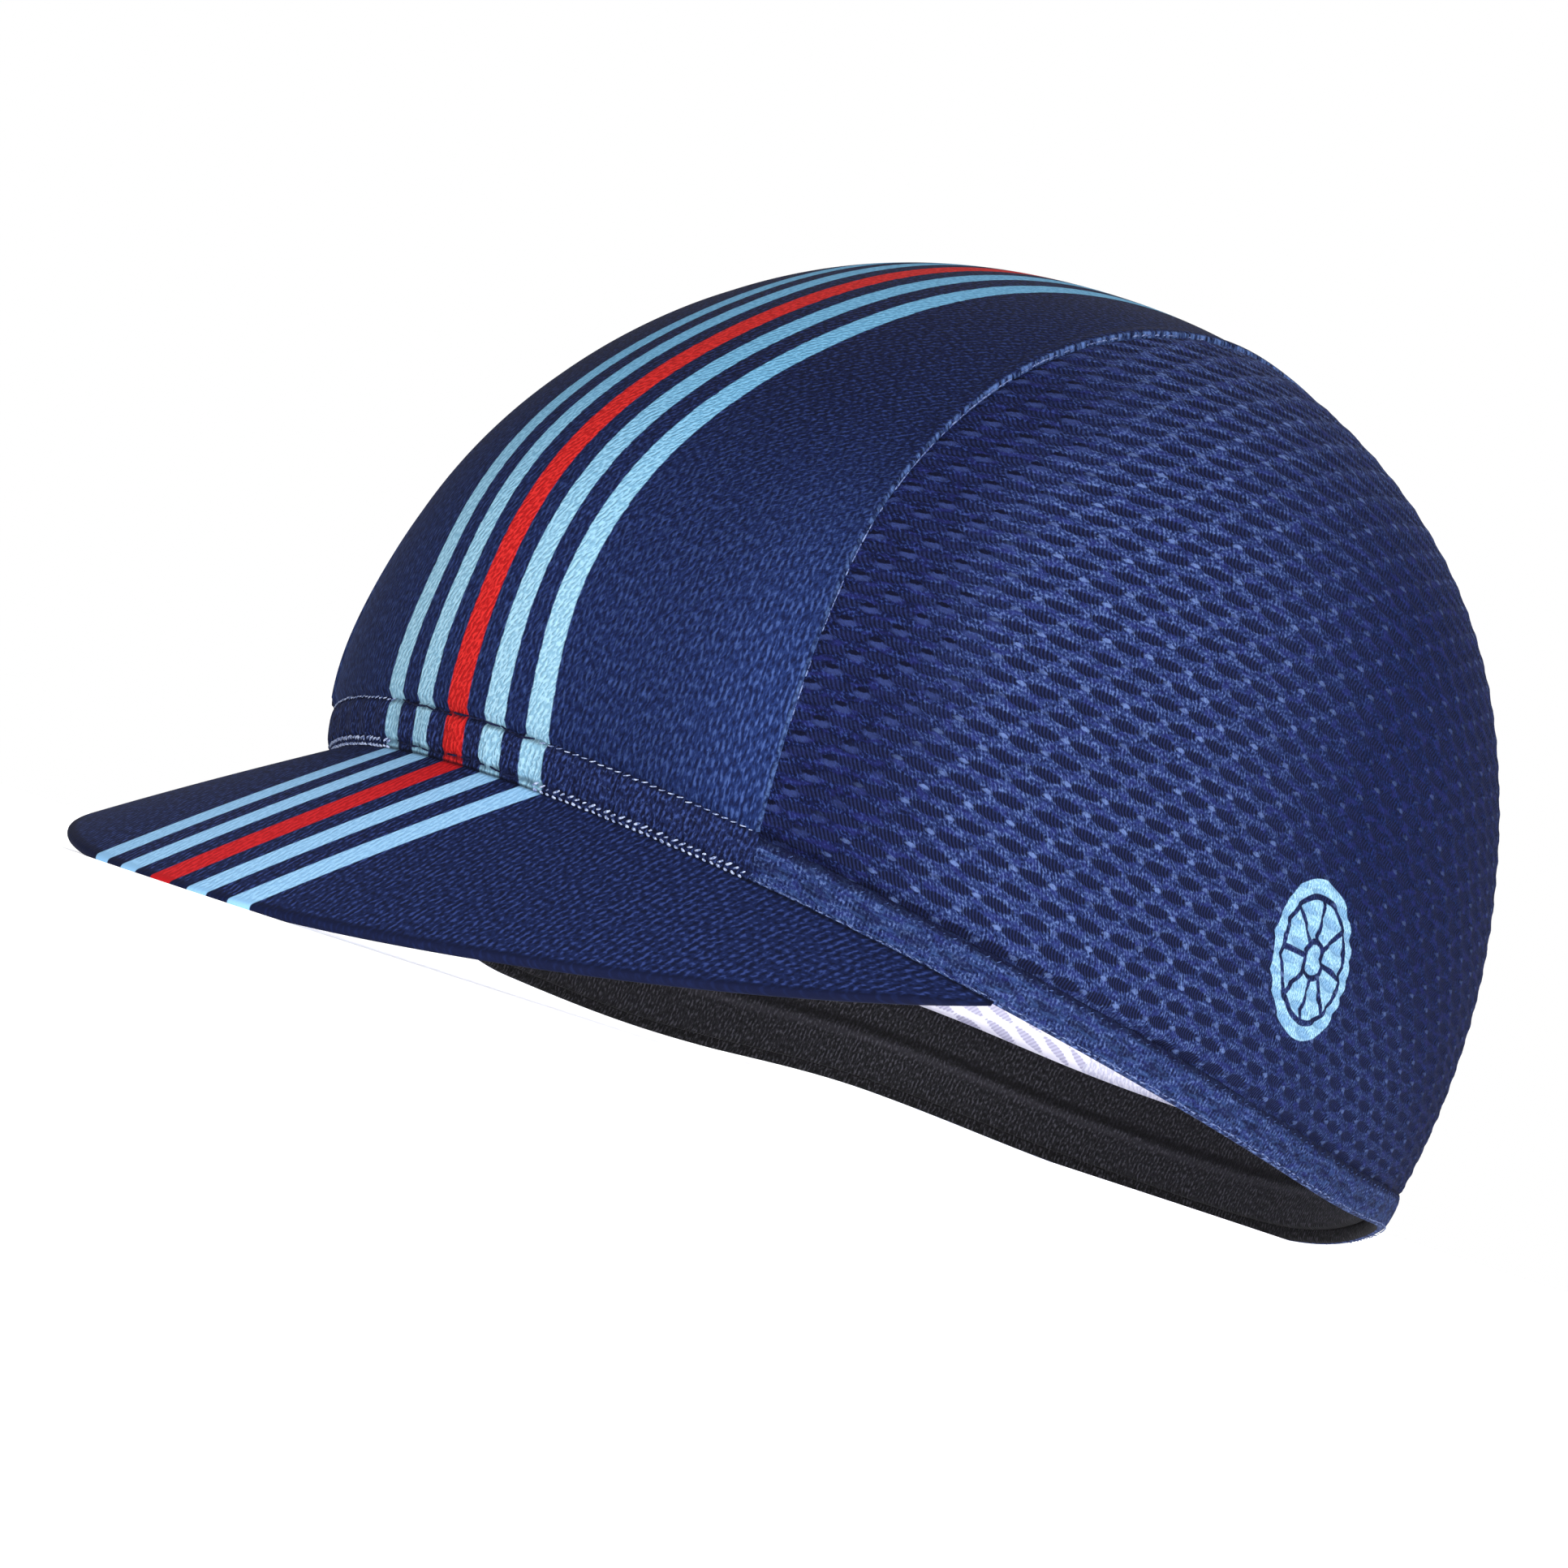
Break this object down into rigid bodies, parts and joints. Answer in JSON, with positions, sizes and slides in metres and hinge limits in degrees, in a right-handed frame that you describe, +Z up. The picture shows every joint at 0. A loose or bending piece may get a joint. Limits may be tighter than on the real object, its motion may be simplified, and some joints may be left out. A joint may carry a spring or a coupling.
{
  "type": "cycling cap",
  "caption": "Close-fitting cloth cycling cap with mesh sides, a striped top panel, a short sloping peak and an elastic band inside the rim.",
  "frame": {"origin": "on the surface that the cap rests on, under the middle of its bounding box", "axes": "+Z up, +X to the wearer's left, +Y to the back of the cap, so the peak points along -Y"},
  "size_m": [0.159, 0.2526, 0.132],
  "materials": {
    "plain_knit": "matt navy knit with pale blue and red stripes",
    "side_mesh": "blue dimpled mesh, white on the inside",
    "peak_cloth": "matt navy twill with light blue and red stripes",
    "black_elastic": "matt black knitted elastic"
  },
  "bodies": {
    "root": {"centre_panel": "plain_knit", "side_panel_left": "side_mesh", "side_panel_right": "side_mesh", "forehead_band": "plain_knit", "rim_hem": "plain_knit", "elastic_band": "black_elastic", "peak": "peak_cloth"}
  },
  "joints": []
}
